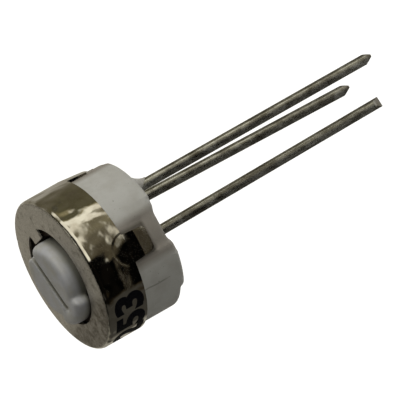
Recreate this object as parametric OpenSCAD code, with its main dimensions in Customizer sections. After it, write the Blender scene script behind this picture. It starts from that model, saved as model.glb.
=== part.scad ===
// Single-turn trimmer potentiometer, 3/8 inch round, with straight leads.
// +Z points out through the adjuster, the leads point along -Z, and the origin
// is the centre of the base's rear face, where the part stands on its board.
// The two end leads and the wiper lead make the usual 5.08 by 2.54 mm triangle.

/* [Cap] */
// Outer diameter of the drawn metal cap
cap_d = 9.525; // [9.2:0.005:11]
// Thickness of the cap's sheet
cap_wall = 0.16; // [0.12:0.01:0.22]
// Height of the cap from its open edge to its face
cap_h = 2.62; // [2.3:0.01:3.0]
// Outer radius of the bend between the cap's face and its side
cap_bend = 0.28; // [0.24:0.01:0.4]
// Rise of the cap's face from its bend to the flat round the opening
face_rise = 0.08; // [0.04:0.01:0.2]
// Radius of the flat round the opening
face_flat_r = 3.5; // [3.4:0.05:3.8]
// Width of the stop tongue where it leaves the face
tongue_root_w = 1.46; // [1.3:0.02:1.6]
// Width of the stop tongue at its free end
tongue_tip_w = 1.22; // [1.0:0.02:1.28]
// Turn of the stop tongue about the axis, from +X
tongue_angle = 0; // [-6:1:6]
// Length of a holding tab below the cap's open edge
tab_len = 1.5; // [1.1:0.05:1.8]
// Width of a holding tab at its root
tab_root_w = 1.75; // [1.5:0.05:1.9]
// Width of a holding tab at its tip
tab_tip_w = 1.49; // [1.2:0.01:1.6]
// How far a tab's tip is pressed in from the cap's side
tab_inset = 0.15; // [0.06:0.01:0.2]
// Turn of the first holding tab about the axis, from +X
tab_angle = -102; // [-106:1:-98]

/* [Base] */
// Height of the cap's bend above the rear face
body_h = 5.46; // [5.1:0.02:6]
// Thickness of the base's floor under the element
floor_t = 1.73; // [1.3:0.01:1.9]
// Radius of the edge round the rear face
rear_edge_r = 0.26; // [0.1:0.01:0.4]
// Chamfer of the rim under the cap's bend
rim_chamfer = 0.2; // [0.16:0.01:0.3]
// Angle across each recess that a tab is pressed into
recess_span = 28; // [26:1:30]
// Turn of the recesses against the tabs
recess_shift = 3; // [0:0.2:4]
// Depth of the two channels across the rear rim, at the side tabs
side_channel_depth = 0.22; // [0.1:0.01:0.4]
// Depth of the wide channel opposite the end leads
wide_channel_depth = 0.3; // [0.15:0.05:0.5]
// Angle across the wide channel
wide_channel_span = 54; // [40:2:64]
// Radial length of a channel, inwards from the side
channel_len = 1.2; // [0.8:0.1:1.4]

/* [Leads] */
// Diameter of the tinned wire
lead_d = 0.64; // [0.5:0.01:0.7]
// Distance between the two end leads
end_pitch = 5.08; // [4.8:0.02:5.3]
// Distance of the wiper lead from the line of the end leads
wiper_pitch = 2.54; // [2.4:0.02:2.7]
// Distance of the end leads' line from the axis
end_line_x = 1.98; // [1.95:0.01:2.1]
// Length of the counter-clockwise end lead below the rear face
lead_ccw_len = 16.7; // [10:0.1:20]
// Length of the wiper lead below the rear face
lead_wiper_len = 16.8; // [10:0.1:20]
// Length of the clockwise end lead below the rear face
lead_cw_len = 16.6; // [10:0.1:20]
// Lean of the wiper lead towards +X
lead_wiper_lean = 0.8; // [-1:0.1:1]
// Lean of the clockwise end lead towards -X
lead_cw_lean = 1.3; // [0:0.1:2]
// Diameter of the flat head on each lead
head_d = 0.88; // [0.82:0.02:0.9]
// Thickness of the flat head
head_t = 0.16; // [0.1:0.01:0.18]
// Height of the cut point on each lead
point_h = 0.4; // [0.3:0.05:0.7]
// Diameter of the thicker shank between the head and the seal
shank_d = 0.7; // [0.66:0.01:0.74]
// Diameter of the hole in the base round each shank
lead_hole_d = 1.0; // [0.9:0.02:1.1]
// Diameter of the well of sealing compound round each lead
well_d = 1.7; // [1.4:0.05:1.75]
// Depth of the well in the rear face
well_depth = 0.7; // [0.4:0.05:1]
// Height that the sealing compound climbs along the lead
seal_h = 1.05; // [1:0.05:1.3]

/* [Element] */
// Thickness of the alumina disc
substrate_t = 0.635; // [0.5:0.005:0.7]
// Thickness of the printed films
film_t = 0.03; // [0.02:0.005:0.05]
// Width of the resistive track
track_w = 0.52; // [0.4:0.02:0.6]
// Angle of each end of the track, either side of +X
track_end_angle = 58; // [56:1:60]
// Radius of the middle of the collector ring
collector_r = 1.42; // [1.38:0.01:1.5]
// Width of the collector ring
collector_w = 0.44; // [0.36:0.02:0.48]
// Diameter of a solder joint
solder_d = 1.12; // [1.06:0.02:1.2]
// Height of a solder joint on its film
solder_h = 0.28; // [0.24:0.01:0.3]

/* [Rotor] */
// Diameter of the adjuster's round core
core_d = 4.52; // [4.3:0.02:4.7]
// Height of the stop lug on the core's side
lug_rise = 0.57; // [0.5:0.01:0.62]
// Angle across the stop lug
lug_span = 72; // [60:1:80]
// Radius of the stop lug's two corners
lug_corner_r = 0.36; // [0.2:0.01:0.4]
// Height of the adjuster above the cap's bend
knob_h = 0.88; // [0.6:0.02:1.2]
// Radius of the adjuster's top edge
knob_edge_r = 0.38; // [0.2:0.02:0.46]
// Width of the screwdriver slot
slot_w = 0.48; // [0.3:0.02:0.6]
// Depth of the screwdriver slot
slot_depth = 0.5; // [0.3:0.05:0.6]
// Distance of the slot's closed end from the axis, towards the lug
slot_end = 1.9; // [1.6:0.05:2]
// Length of the slot's mouth, at the end away from the lug
mouth_len = 0.48; // [0.3:0.02:0.7]
// How far the mouth flares to one side at the rim, from the slot's middle
mouth_flare = 0.86; // [0.6:0.02:1]
// Slant of the mouth's flat on its other side
mouth_slant = 13; // [0:1:20]
// Angle of the slot and the lug at rest, from +X
slot_angle = 7.4; // [2:0.2:10]
// Thickness of the flange that turns in the base's bore
flange_t = 1.0; // [0.8:0.05:1.1]
// Radius of the pegs that hold the wiper
peg_r = 0.28; // [0.24:0.01:0.32]
// Thickness of the rubber ring
ring_t = 0.98; // [0.9:0.01:1]

/* [Wiper] */
// Thickness of the spring sheet
spring_t = 0.1; // [0.08:0.01:0.12]
// Width of one finger
finger_w = 0.15; // [0.13:0.01:0.16]
// Gap between two fingers
finger_gap = 0.06; // [0.04:0.01:0.08]
// Length of the fingers, from their root to the tip
finger_len = 1.9; // [1.7:0.05:2.0]
// Radius of the rounded tip of a finger
tip_r = 0.1; // [0.08:0.01:0.12]
// Angle of the contact from the middle of the stop lug
contact_angle = 0; // [-6:1:6]

/* [Clearances] */
// Gap between the cap's side and the base
cap_fit = 0.02; // [0.01:0.005:0.04]
// Radial gap between the flange and the bore
bearing_fit = 0.05; // [0.02:0.01:0.08]
// Gap between a tab and its recess
tab_fit = 0.02; // [0.01:0.01:0.05]
// Gap of the rubber ring to the turning parts
ring_fit = 0.02; // [0.01:0.01:0.04]
// Gap under the stop lug and under the contact tips
lift = 0.02; // [0.01:0.01:0.03]
// Gap of a lead to its hole in the alumina disc, and of the disc to the bore
disc_fit = 0.05; // [0.03:0.01:0.08]
// Gap between the core and the tip of the stop tongue
tongue_gap = 0.12; // [0.08:0.01:0.2]
// Gap between the stop lug and the opening's edge
opening_gap = 0.23; // [0.15:0.01:0.3]
// Gap between the outer finger and the end leads' solder
finger_clear = 0.08; // [0.04:0.01:0.12]
// Gap between the wiper's plate and the bore
plate_gap = 0.35; // [0.2:0.01:0.4]

/* [Hidden] */
$fn = 64;
eps = 0.01;
far = 30;

cap_r = cap_d / 2;
cap_inner_r = cap_r - cap_wall;
cap_edge_z = body_h - cap_h;
cap_inner_z = body_h - cap_wall;
core_r = core_d / 2;
lug_r = core_r + lug_rise;
opening_r = lug_r + opening_gap;
tongue_tip_r = core_r + tongue_gap;
tab_tip_z = cap_edge_z - tab_len;
tab_angles = [tab_angle, tab_angle + 90, tab_angle + 180];

base_r = cap_inner_r - cap_fit;
side_channel_angles = [tab_angle + recess_shift, tab_angle + 180 + recess_shift];

lead_r = lead_d / 2;
shank_r = shank_d / 2;
shank_end = 0.35;
shank_taper = 0.6;
film_edge = 0.03;
end_lead_r = norm([end_line_x, end_pitch / 2]);
substrate_r = end_lead_r + solder_d / 2 + film_edge;
bore_r = substrate_r + disc_fit;
wiper_x = end_line_x - wiper_pitch;
ccw_pos = [end_line_x, -end_pitch / 2];
wiper_pos = [wiper_x, 0];
cw_pos = [end_line_x, end_pitch / 2];

element_z = floor_t + substrate_t;
film_z = element_z + film_t;
pad_span = 24;
lean_z = floor_t + substrate_t / 2;

knob_z = body_h + knob_h;
lug_z = cap_inner_z + lift;
flange_r = bore_r - bearing_fit;
flange_top_z = cap_inner_z - ring_t - ring_fit;
flange_z = flange_top_z - flange_t;
ring_r = core_r + ring_fit + ring_t / 2;

plate_z = flange_z - spring_t;
peg_head_r = peg_r + 0.14;
peg_head_t = 0.14;
peg_places = [[-2.35, 0.9], [-0.6, -2.5]];
plate_r = bore_r - plate_gap;
finger_pitch = finger_w + finger_gap;
track_r = end_lead_r - solder_d / 2 - finger_clear - finger_pitch - finger_w / 2;
finger_drop = plate_z + spring_t / 2 - (film_z + lift + tip_r);
finger_slope = asin(finger_drop / finger_len);

// ---- Shapes shared by several pieces ----

// Plan of a sector about the origin, centred on an angle.
module sector(radius, middle, span) {
    steps = 8;
    polygon(concat([[0, 0]], [
        for (i = [0:steps])
            let (a = middle - span / 2 + span * i / steps, reach = radius / cos(span / steps / 2))
                [reach * cos(a), reach * sin(a)]
    ]));
}

// Upright wedge that spans an angle about the axis.
module wedge(middle, span, low, high, radius = far) {
    translate([0, 0, low]) linear_extrude(high - low) sector(radius, middle, span);
}

// Flat film of the element in the shape of a ring.
module ring_film(radius, width) {
    translate([0, 0, element_z]) difference() {
        cylinder(r = radius + width / 2, h = film_t);
        translate([0, 0, -eps]) cylinder(r = radius - width / 2, h = film_t + 2 * eps);
    }
}

// ---- Cap ----

// Solid of revolution with a rounded shoulder, radius by height, top at z.
module shouldered(radius, bottom, top, edge) {
    rotate_extrude() {
        translate([0, bottom]) square([radius, top - edge - bottom]);
        translate([0, bottom]) square([radius - edge, top - bottom]);
        intersection() {
            translate([radius - edge, top - edge]) circle(edge);
            square([radius + edge, top + edge]);
        }
    }
}

// The cap's solid: a rounded shoulder and a face that rises gently to a flat.
module domed(radius, bottom, top, edge) {
    shouldered(radius, bottom, top, edge);
    rotate_extrude() polygon([
        [0, top - eps],
        [radius - edge, top - eps],
        [radius - edge, top],
        [face_flat_r, top + face_rise],
        [0, top + face_rise]
    ]);
}

// Plan of the opening with the stop tongue standing into it.
module opening_plan() {
    rotate(tongue_angle) difference() {
        circle(opening_r, $fn = 96);
        polygon([
            [tongue_tip_r, -tongue_tip_w / 2],
            [opening_r, -tongue_root_w / 2],
            [opening_r + cap_wall, -tongue_root_w / 2],
            [opening_r + cap_wall, tongue_root_w / 2],
            [opening_r, tongue_root_w / 2],
            [tongue_tip_r, tongue_tip_w / 2]
        ]);
    }
}

// Outline of a tab seen from outside: it narrows to a tip with cut corners.
module tab_outline() {
    corner = 0.14;
    polygon([
        [-tab_root_w / 2, cap_edge_z + 2 * cap_wall],
        [-tab_root_w / 2, cap_edge_z],
        [-tab_tip_w / 2, tab_tip_z + corner],
        [-tab_tip_w / 2 + corner, tab_tip_z],
        [tab_tip_w / 2 - corner, tab_tip_z],
        [tab_tip_w / 2, tab_tip_z + corner],
        [tab_root_w / 2, cap_edge_z],
        [tab_root_w / 2, cap_edge_z + 2 * cap_wall]
    ]);
}

// Ring that leans in from the cap's edge; its part inside tab_outline is a tab.
module leaning_ring() {
    rotate_extrude() polygon([
        [cap_inner_r, cap_edge_z + cap_wall],
        [cap_r, cap_edge_z + cap_wall],
        [cap_r, cap_edge_z],
        [cap_r - tab_inset, tab_tip_z - eps],
        [cap_inner_r - tab_inset, tab_tip_z - eps],
        [cap_inner_r, cap_edge_z]
    ]);
}

module cap() {
    color("#b9b3a4") {
        difference() {
            domed(cap_r, cap_edge_z, body_h, cap_bend);
            domed(cap_inner_r, cap_edge_z - eps, cap_inner_z, cap_bend - cap_wall);
            translate([0, 0, cap_inner_z]) linear_extrude(cap_wall + 2 * face_rise) opening_plan();
        }
        for (a = tab_angles) intersection() {
            leaning_ring();
            rotate([0, 0, a + 90]) rotate([90, 0, 0]) linear_extrude(cap_r + 1) tab_outline();
        }
    }
}

// ---- Base ----

// What a tab's recess takes out of the base, all the way round. It leans in
// with the tab from the cap's edge and then runs straight to the rear face.
module recess_ring() {
    foot_r = cap_inner_r - tab_inset - tab_fit;
    rise = 1.4;
    rotate_extrude() polygon([
        [foot_r, -1],
        [cap_r + 1, -1],
        [cap_r + 1, tab_tip_z + rise * tab_len],
        [foot_r + rise * tab_inset, tab_tip_z + rise * tab_len],
        [foot_r, tab_tip_z]
    ]);
}

// Channel across the rear rim.
module channel(middle, span, depth) {
    difference() {
        wedge(middle, span, -1, depth);
        translate([0, 0, -2]) cylinder(r = base_r - channel_len, h = 4);
    }
}

module base() {
    color("#e9e8e2") difference() {
        rotate_extrude($fn = 96) {
            translate([0, rear_edge_r]) square([base_r, cap_inner_z - rear_edge_r - rim_chamfer]);
            square([base_r - rear_edge_r, rear_edge_r + eps]);
            intersection() {
                translate([base_r - rear_edge_r, rear_edge_r]) circle(rear_edge_r);
                square(2 * base_r);
            }
            polygon([
                [0, cap_inner_z - rim_chamfer - eps],
                [base_r, cap_inner_z - rim_chamfer - eps],
                [base_r, cap_inner_z - rim_chamfer],
                [base_r - rim_chamfer, cap_inner_z],
                [0, cap_inner_z]
            ]);
        }
        translate([0, 0, floor_t]) cylinder(r = bore_r, h = body_h, $fn = 96);
        for (p = [ccw_pos, wiper_pos, cw_pos]) translate([p[0], p[1], -1]) {
            cylinder(d = lead_hole_d, h = floor_t + 2);
            cylinder(d = well_d, h = 1 + well_depth);
        }
        for (a = tab_angles) intersection() {
            recess_ring();
            wedge(a + recess_shift, recess_span, -2, body_h);
        }
        for (a = side_channel_angles) channel(a, recess_span, side_channel_depth);
        channel(180, wide_channel_span, wide_channel_depth);
    }
}

// ---- Element: alumina disc with its printed films ----

module element_substrate() {
    color("#dcdcd6") translate([0, 0, floor_t]) difference() {
        cylinder(r = substrate_r, h = substrate_t);
        for (p = [ccw_pos, wiper_pos, cw_pos])
            translate([p[0], p[1], -1]) cylinder(r = shank_r + disc_fit, h = substrate_t + 2);
    }
}

module resistive_track() {
    color("#23221f") difference() {
        ring_film(track_r, track_w);
        wedge(0, 2 * track_end_angle, 0, body_h);
    }
}

// Pad of silver film from a track's end out to the lead; side is -1 or 1.
module end_pad(side) {
    inner_r = track_r - track_w / 2;
    difference() {
        union() {
            intersection() {
                ring_film((inner_r + end_lead_r) / 2, end_lead_r - inner_r);
                wedge(side * (track_end_angle - pad_span / 2), pad_span, 0, body_h);
            }
            translate([end_line_x, side * end_pitch / 2, element_z])
                cylinder(d = solder_d, h = film_t);
        }
        translate([end_line_x, side * end_pitch / 2, 0])
            cylinder(r = shank_r + disc_fit, h = body_h);
    }
}

module end_pad_ccw() {
    color("#c9c7bf") end_pad(-1);
}

module end_pad_cw() {
    color("#c9c7bf") end_pad(1);
}

module collector_ring() {
    color("#c9c7bf") difference() {
        union() {
            ring_film(collector_r, collector_w);
            translate([wiper_x, 0, element_z]) cylinder(d = solder_d, h = film_t);
            translate([-collector_r, -collector_w / 2, element_z])
                cube([collector_r + wiper_x, collector_w, film_t]);
        }
        translate([wiper_x, 0, 0]) cylinder(r = shank_r + disc_fit, h = body_h);
    }
}

// ---- Leads, their solder and their seals ----

// Headed wire at the origin of its own hole: a thicker shank that tapers to the
// wire inside the seal, and a cut chisel point whose edge lies along Y before
// its turn. It leans in XZ about the middle of the alumina disc.
module lead_wire(len, lean, cut_turn = 0) {
    edge = lead_r / 5;
    wire_top = shank_end + shank_taper;
    translate([0, 0, film_z]) cylinder(d = head_d, h = head_t);
    translate([0, 0, lean_z]) rotate([0, lean, 0]) translate([0, 0, -lean_z]) {
        translate([0, 0, -shank_end]) cylinder(r = shank_r, h = shank_end + film_z + head_t / 2);
        translate([0, 0, -wire_top]) cylinder(r1 = lead_r, r2 = shank_r, h = shank_taper);
        difference() {
            translate([0, 0, -len]) cylinder(r = lead_r, h = len - wire_top);
            for (side = [-1, 1]) rotate([0, 0, cut_turn]) translate([side * edge, 0, -len])
                rotate([0, side * atan((lead_r - edge) / point_h), 0])
                    translate([side * lead_d, 0, 0])
                        cube([2 * lead_d, 4 * lead_d, 4 * point_h], center = true);
        }
    }
}

module lead_ccw() {
    color("#a5a196") translate(ccw_pos) lead_wire(lead_ccw_len, 0);
}

module lead_wiper() {
    color("#a5a196") translate(wiper_pos) lead_wire(lead_wiper_len, -lead_wiper_lean, 90);
}

module lead_cw() {
    color("#a5a196") translate(cw_pos) lead_wire(lead_cw_len, lead_cw_lean);
}

// Solder over a lead's head: a low dome with a spread foot.
module solder_dome(p) {
    steps = 8;
    color("#b4b2aa") translate([p[0], p[1], film_z]) difference() {
        rotate_extrude() polygon(concat([[0, 0]], [
            for (i = [0:steps]) let (u = i / steps)
                [solder_d / 2 * (1 - 0.4 * u * u), solder_h * u]
        ], [[0, solder_h]]));
        translate([0, 0, -eps]) cylinder(d = head_d, h = head_t + eps);
    }
}

module solder_ccw() {
    solder_dome(ccw_pos);
}

module solder_wiper() {
    solder_dome(wiper_pos);
}

module solder_cw() {
    solder_dome(cw_pos);
}

// White sealing compound: it fills the well in the base and climbs the lead as
// a hollow-sided cone.
module lead_seal(p, len, lean) {
    steps = 10;
    skin = 0.05;
    edge_step = 0.1;
    foot = well_d / 2 - edge_step - lead_r - skin;
    color("#efeeea") difference() {
        union() {
            translate([p[0], p[1], 0]) cylinder(d = well_d, h = well_depth);
            translate([p[0] - tan(lean) * (lean_z + seal_h / 2), p[1], 0])
                rotate_extrude() polygon(concat([[0, 0]], [
                    for (i = [0:steps]) let (u = i / steps)
                        [lead_r + skin + foot * pow(1 - u, 2.4), -seal_h * u]
                ], [[0, -seal_h]]));
        }
        translate([p[0], p[1], 0]) lead_wire(len, lean);
    }
}

module seal_ccw() {
    lead_seal(ccw_pos, lead_ccw_len, 0);
}

module seal_wiper() {
    lead_seal(wiper_pos, lead_wiper_len, -lead_wiper_lean);
}

module seal_cw() {
    lead_seal(cw_pos, lead_cw_len, lead_cw_lean);
}

// ---- Rubber ring under the cap ----

module rubber_ring() {
    color("#3a2a22") translate([0, 0, cap_inner_z - ring_t / 2])
        rotate_extrude() translate([ring_r, 0]) circle(d = ring_t);
}

// ---- Rotor and its wiper, drawn with the lug along -X, then turned to rest ----

module at_rest() {
    rotate([0, 0, slot_angle]) children();
}

// Places what is drawn with the contact along +X.
module at_contact() {
    at_rest() rotate([0, 0, 180 + contact_angle]) children();
}

// Plan of the stop lug: a sector whose two outer corners are round.
module lug_plan() {
    corner_turn = asin(lug_corner_r / (lug_r - lug_corner_r));
    sector(far, 180, lug_span - 2 * corner_turn);
    for (side = [-1, 1]) rotate(180 + side * (lug_span / 2 - corner_turn))
        translate([lug_r - lug_corner_r, 0]) circle(lug_corner_r);
}

// Plan of the slot. It stops short of the lug; its mouth, at the other end,
// flares to one side and cuts a flat on the other.
module slot_plan() {
    mouth_x = core_r - mouth_len;
    translate([-slot_end, -slot_w / 2]) square([slot_end + core_r + 1, slot_w]);
    polygon([
        [mouth_x, -slot_w / 2],
        [core_r, -mouth_flare],
        [core_r + 1, -mouth_flare],
        [core_r + 1, core_r],
        [mouth_x + core_r * tan(mouth_slant), core_r],
        [mouth_x, 0]
    ]);
}

module rotor() {
    color("#e6e6e0") difference() {
        union() {
            at_rest() {
                shouldered(core_r, flange_z + flange_t / 2, knob_z, knob_edge_r);
                intersection() {
                    shouldered(lug_r, lug_z, knob_z, knob_edge_r);
                    linear_extrude(2 * body_h) lug_plan();
                }
            }
            translate([0, 0, flange_z]) cylinder(r = flange_r, h = flange_t);
            at_contact() for (p = peg_places) {
                translate([p[0], p[1], plate_z - eps]) cylinder(r = peg_r, h = spring_t + 2 * eps);
                translate([p[0], p[1], plate_z - peg_head_t]) cylinder(r = peg_head_r, h = peg_head_t);
            }
        }
        at_rest() translate([0, 0, knob_z - slot_depth]) linear_extrude(2 * slot_depth) slot_plan();
    }
}

// One row of fingers whose tips lie at [radius, 0] and whose roots lie towards
// side * Y.
module fingers(radius, count, side) {
    for (i = [0:count - 1]) {
        x = radius + (i - (count - 1) / 2) * finger_pitch;
        translate([x, 0, film_z + lift + tip_r]) {
            rotate([0, 90, 0]) cylinder(r = tip_r, h = finger_w, center = true, $fn = 24);
            rotate([side * finger_slope, 0, 0])
                translate([-finger_w / 2, side > 0 ? 0 : -finger_len, -spring_t / 2])
                    cube([finger_w, finger_len, spring_t]);
        }
    }
}

module wiper() {
    window = 0.1;
    root = finger_len * cos(finger_slope) - 1.2 * spring_t;
    track_window = 3 * finger_pitch + 2 * window;
    ring_window = 2 * finger_pitch + 2 * window;
    color("#b98a4a") at_contact() {
        difference() {
            translate([0, 0, plate_z]) cylinder(r = plate_r, h = spring_t);
            translate([track_r - track_window / 2, -4 * tip_r, 0])
                cube([track_window, root + 4 * tip_r, far]);
            translate([collector_r - ring_window / 2, -root, 0])
                cube([ring_window, root + 4 * tip_r, far]);
            for (p = peg_places) translate([p[0], p[1], 0]) cylinder(r = peg_r, h = far);
        }
        fingers(track_r, 3, 1);
        fingers(collector_r, 2, -1);
    }
}

base();
cap();
element_substrate();
resistive_track();
end_pad_ccw();
end_pad_cw();
collector_ring();
lead_ccw();
lead_wiper();
lead_cw();
solder_ccw();
solder_wiper();
solder_cw();
seal_ccw();
seal_wiper();
seal_cw();
rubber_ring();
rotor();
wiper();
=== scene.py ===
import math

import bmesh
import bpy
from bpy.props import FloatProperty, FloatVectorProperty, PointerProperty, StringProperty
from bpy.types import Operator, Panel, PropertyGroup
from mathutils import Matrix, Vector


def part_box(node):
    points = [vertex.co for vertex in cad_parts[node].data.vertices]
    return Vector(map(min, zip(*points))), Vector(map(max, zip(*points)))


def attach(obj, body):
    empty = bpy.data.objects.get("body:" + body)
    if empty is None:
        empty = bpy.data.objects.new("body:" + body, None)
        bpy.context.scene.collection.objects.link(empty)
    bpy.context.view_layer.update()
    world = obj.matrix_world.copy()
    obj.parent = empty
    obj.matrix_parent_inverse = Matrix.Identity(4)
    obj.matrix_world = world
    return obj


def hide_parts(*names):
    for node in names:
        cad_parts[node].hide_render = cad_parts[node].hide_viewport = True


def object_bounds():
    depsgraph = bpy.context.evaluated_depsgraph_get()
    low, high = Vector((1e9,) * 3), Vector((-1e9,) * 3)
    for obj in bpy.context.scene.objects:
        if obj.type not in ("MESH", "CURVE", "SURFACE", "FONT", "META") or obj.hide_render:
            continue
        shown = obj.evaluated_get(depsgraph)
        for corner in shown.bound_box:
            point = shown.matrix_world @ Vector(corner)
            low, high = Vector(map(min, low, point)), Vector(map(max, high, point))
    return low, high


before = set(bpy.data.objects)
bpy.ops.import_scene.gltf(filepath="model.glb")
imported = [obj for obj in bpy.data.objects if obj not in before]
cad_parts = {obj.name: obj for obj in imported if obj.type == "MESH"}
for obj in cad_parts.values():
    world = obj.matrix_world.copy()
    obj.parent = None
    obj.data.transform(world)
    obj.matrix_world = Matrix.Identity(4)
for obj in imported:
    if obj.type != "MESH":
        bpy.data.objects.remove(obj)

bl_info = {
    "name": "Trimmer potentiometer",
    "version": (1, 0, 0),
    "blender": (4, 5, 0),
    "location": "3D View > Sidebar > Trimmer",
    "description": "Finishes, ink figures and studio for a round single-turn trimmer",
    "category": "Object",
}

MM = 0.001

CAD_LOW, CAD_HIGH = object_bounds()
CAP_LOW, CAP_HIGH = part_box("cap")
CAP_RADIUS = (CAP_HIGH.x - CAP_LOW.x) / 2

# The cap's face is slightly domed: FACE_Z is its height at the bend.
FACE_RISE = 0.08 * MM
FACE_Z = CAP_HIGH.z - FACE_RISE

# The tabs' tips are the cap's lowest points, and ROOT_Z is where the tabs leave the wall.
TAB_LENGTH = 1.5 * MM
ROOT_Z = CAP_LOW.z + TAB_LENGTH

# Turns round the axis, from +X. The middle tab has no channel in the base's rim.
TAB_TURNS = [math.radians(degrees) for degrees in (-102, -12, 78)]
CHANNEL_TURNS = TAB_TURNS[::2]
SLOT_TURN = math.radians(7.4)
DARK_LINE_TURN = math.radians(-137.5)

# The same heights in millimetres, as the finishes read them.
FACE_MM = FACE_Z / MM
ROOT_MM = ROOT_Z / MM
TAB_TIP_MM = CAP_LOW.z / MM
KNOB_TOP_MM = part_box("rotor")[1].z / MM
WIRE_END_MM = CAD_LOW.z / MM


# ---- Colours and shader nodes ----

def linear(hex_colour):
    """Linear RGBA of an sRGB colour written as six hex digits."""
    parts = [int(hex_colour[i:i + 2], 16) / 255 for i in (0, 2, 4)]
    return [c / 12.92 if c <= 0.04045 else ((c + 0.055) / 1.055) ** 2.4 for c in parts] + [1.0]


def add(tree, kind, inputs=None, **settings):
    """Adds a shader node. inputs maps the name or number of a socket to a value, to the
    output that feeds it, or to a node, which stands for its first output in use."""
    node = tree.nodes.new(kind)
    for name, value in settings.items():
        setattr(node, name, value)
    for name, value in (inputs or {}).items():
        if isinstance(name, int):
            socket = node.inputs[name]
        else:
            socket = next(s for s in node.inputs if s.enabled and s.name == name)
        if isinstance(value, bpy.types.Node):
            value = next(output for output in value.outputs if output.enabled)
        if isinstance(value, bpy.types.NodeSocket):
            tree.links.new(value, socket)
        else:
            socket.default_value = value
    return node


def new_material(name):
    """An empty node material and its tree."""
    material = bpy.data.materials.new(name)
    material.use_nodes = True
    tree = material.node_tree
    tree.nodes.clear()
    return material, tree


def place_mm(tree, stretch=(1.0, 1.0, 1.0)):
    """Object coordinates in millimetres, each axis multiplied by its stretch."""
    place = add(tree, "ShaderNodeTexCoord").outputs["Object"]
    return add(tree, "ShaderNodeMapping", {"Vector": place, "Scale": [s / MM for s in stretch]})


def ahead_and_aside(tree, place, turn):
    """How far a place lies from the axis along a turn, and how far to its left."""
    ahead = (math.cos(turn), math.sin(turn), 0.0)
    left = (-math.sin(turn), math.cos(turn), 0.0)
    return [add(tree, "ShaderNodeVectorMath", {0: place, 1: way}, operation="DOT_PRODUCT")
            for way in (ahead, left)]


def faces_down(tree):
    """1 where a surface faces the rear, 0 on the sides and the front."""
    normal = add(tree, "ShaderNodeTexCoord").outputs["Normal"]
    upward = add(tree, "ShaderNodeSeparateXYZ", {0: normal}).outputs["Z"]
    return add(tree, "ShaderNodeMapRange", {0: upward, 1: -0.8, 2: -0.5, 3: 1.0, 4: 0.0})


def seen_directly(tree):
    """1 for what the camera sees, also in a mirror or through glass, 0 for soft light."""
    path = add(tree, "ShaderNodeLightPath").outputs
    mirrored = add(tree, "ShaderNodeMath", {0: path["Is Glossy Ray"], 1: path["Is Transmission Ray"]},
                   operation="MAXIMUM")
    return add(tree, "ShaderNodeMath", {0: path["Is Camera Ray"], 1: mirrored}, operation="MAXIMUM")


# ---- Materials ----
#
# Patterns read Object coordinates in millimetres, so that a noise with a Scale of 1 / 0.9
# has lumps about 0.9 mm across. A Map Range's sockets 0 to 4 are the value, the two ends
# that it runs between, and what they become.

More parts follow.
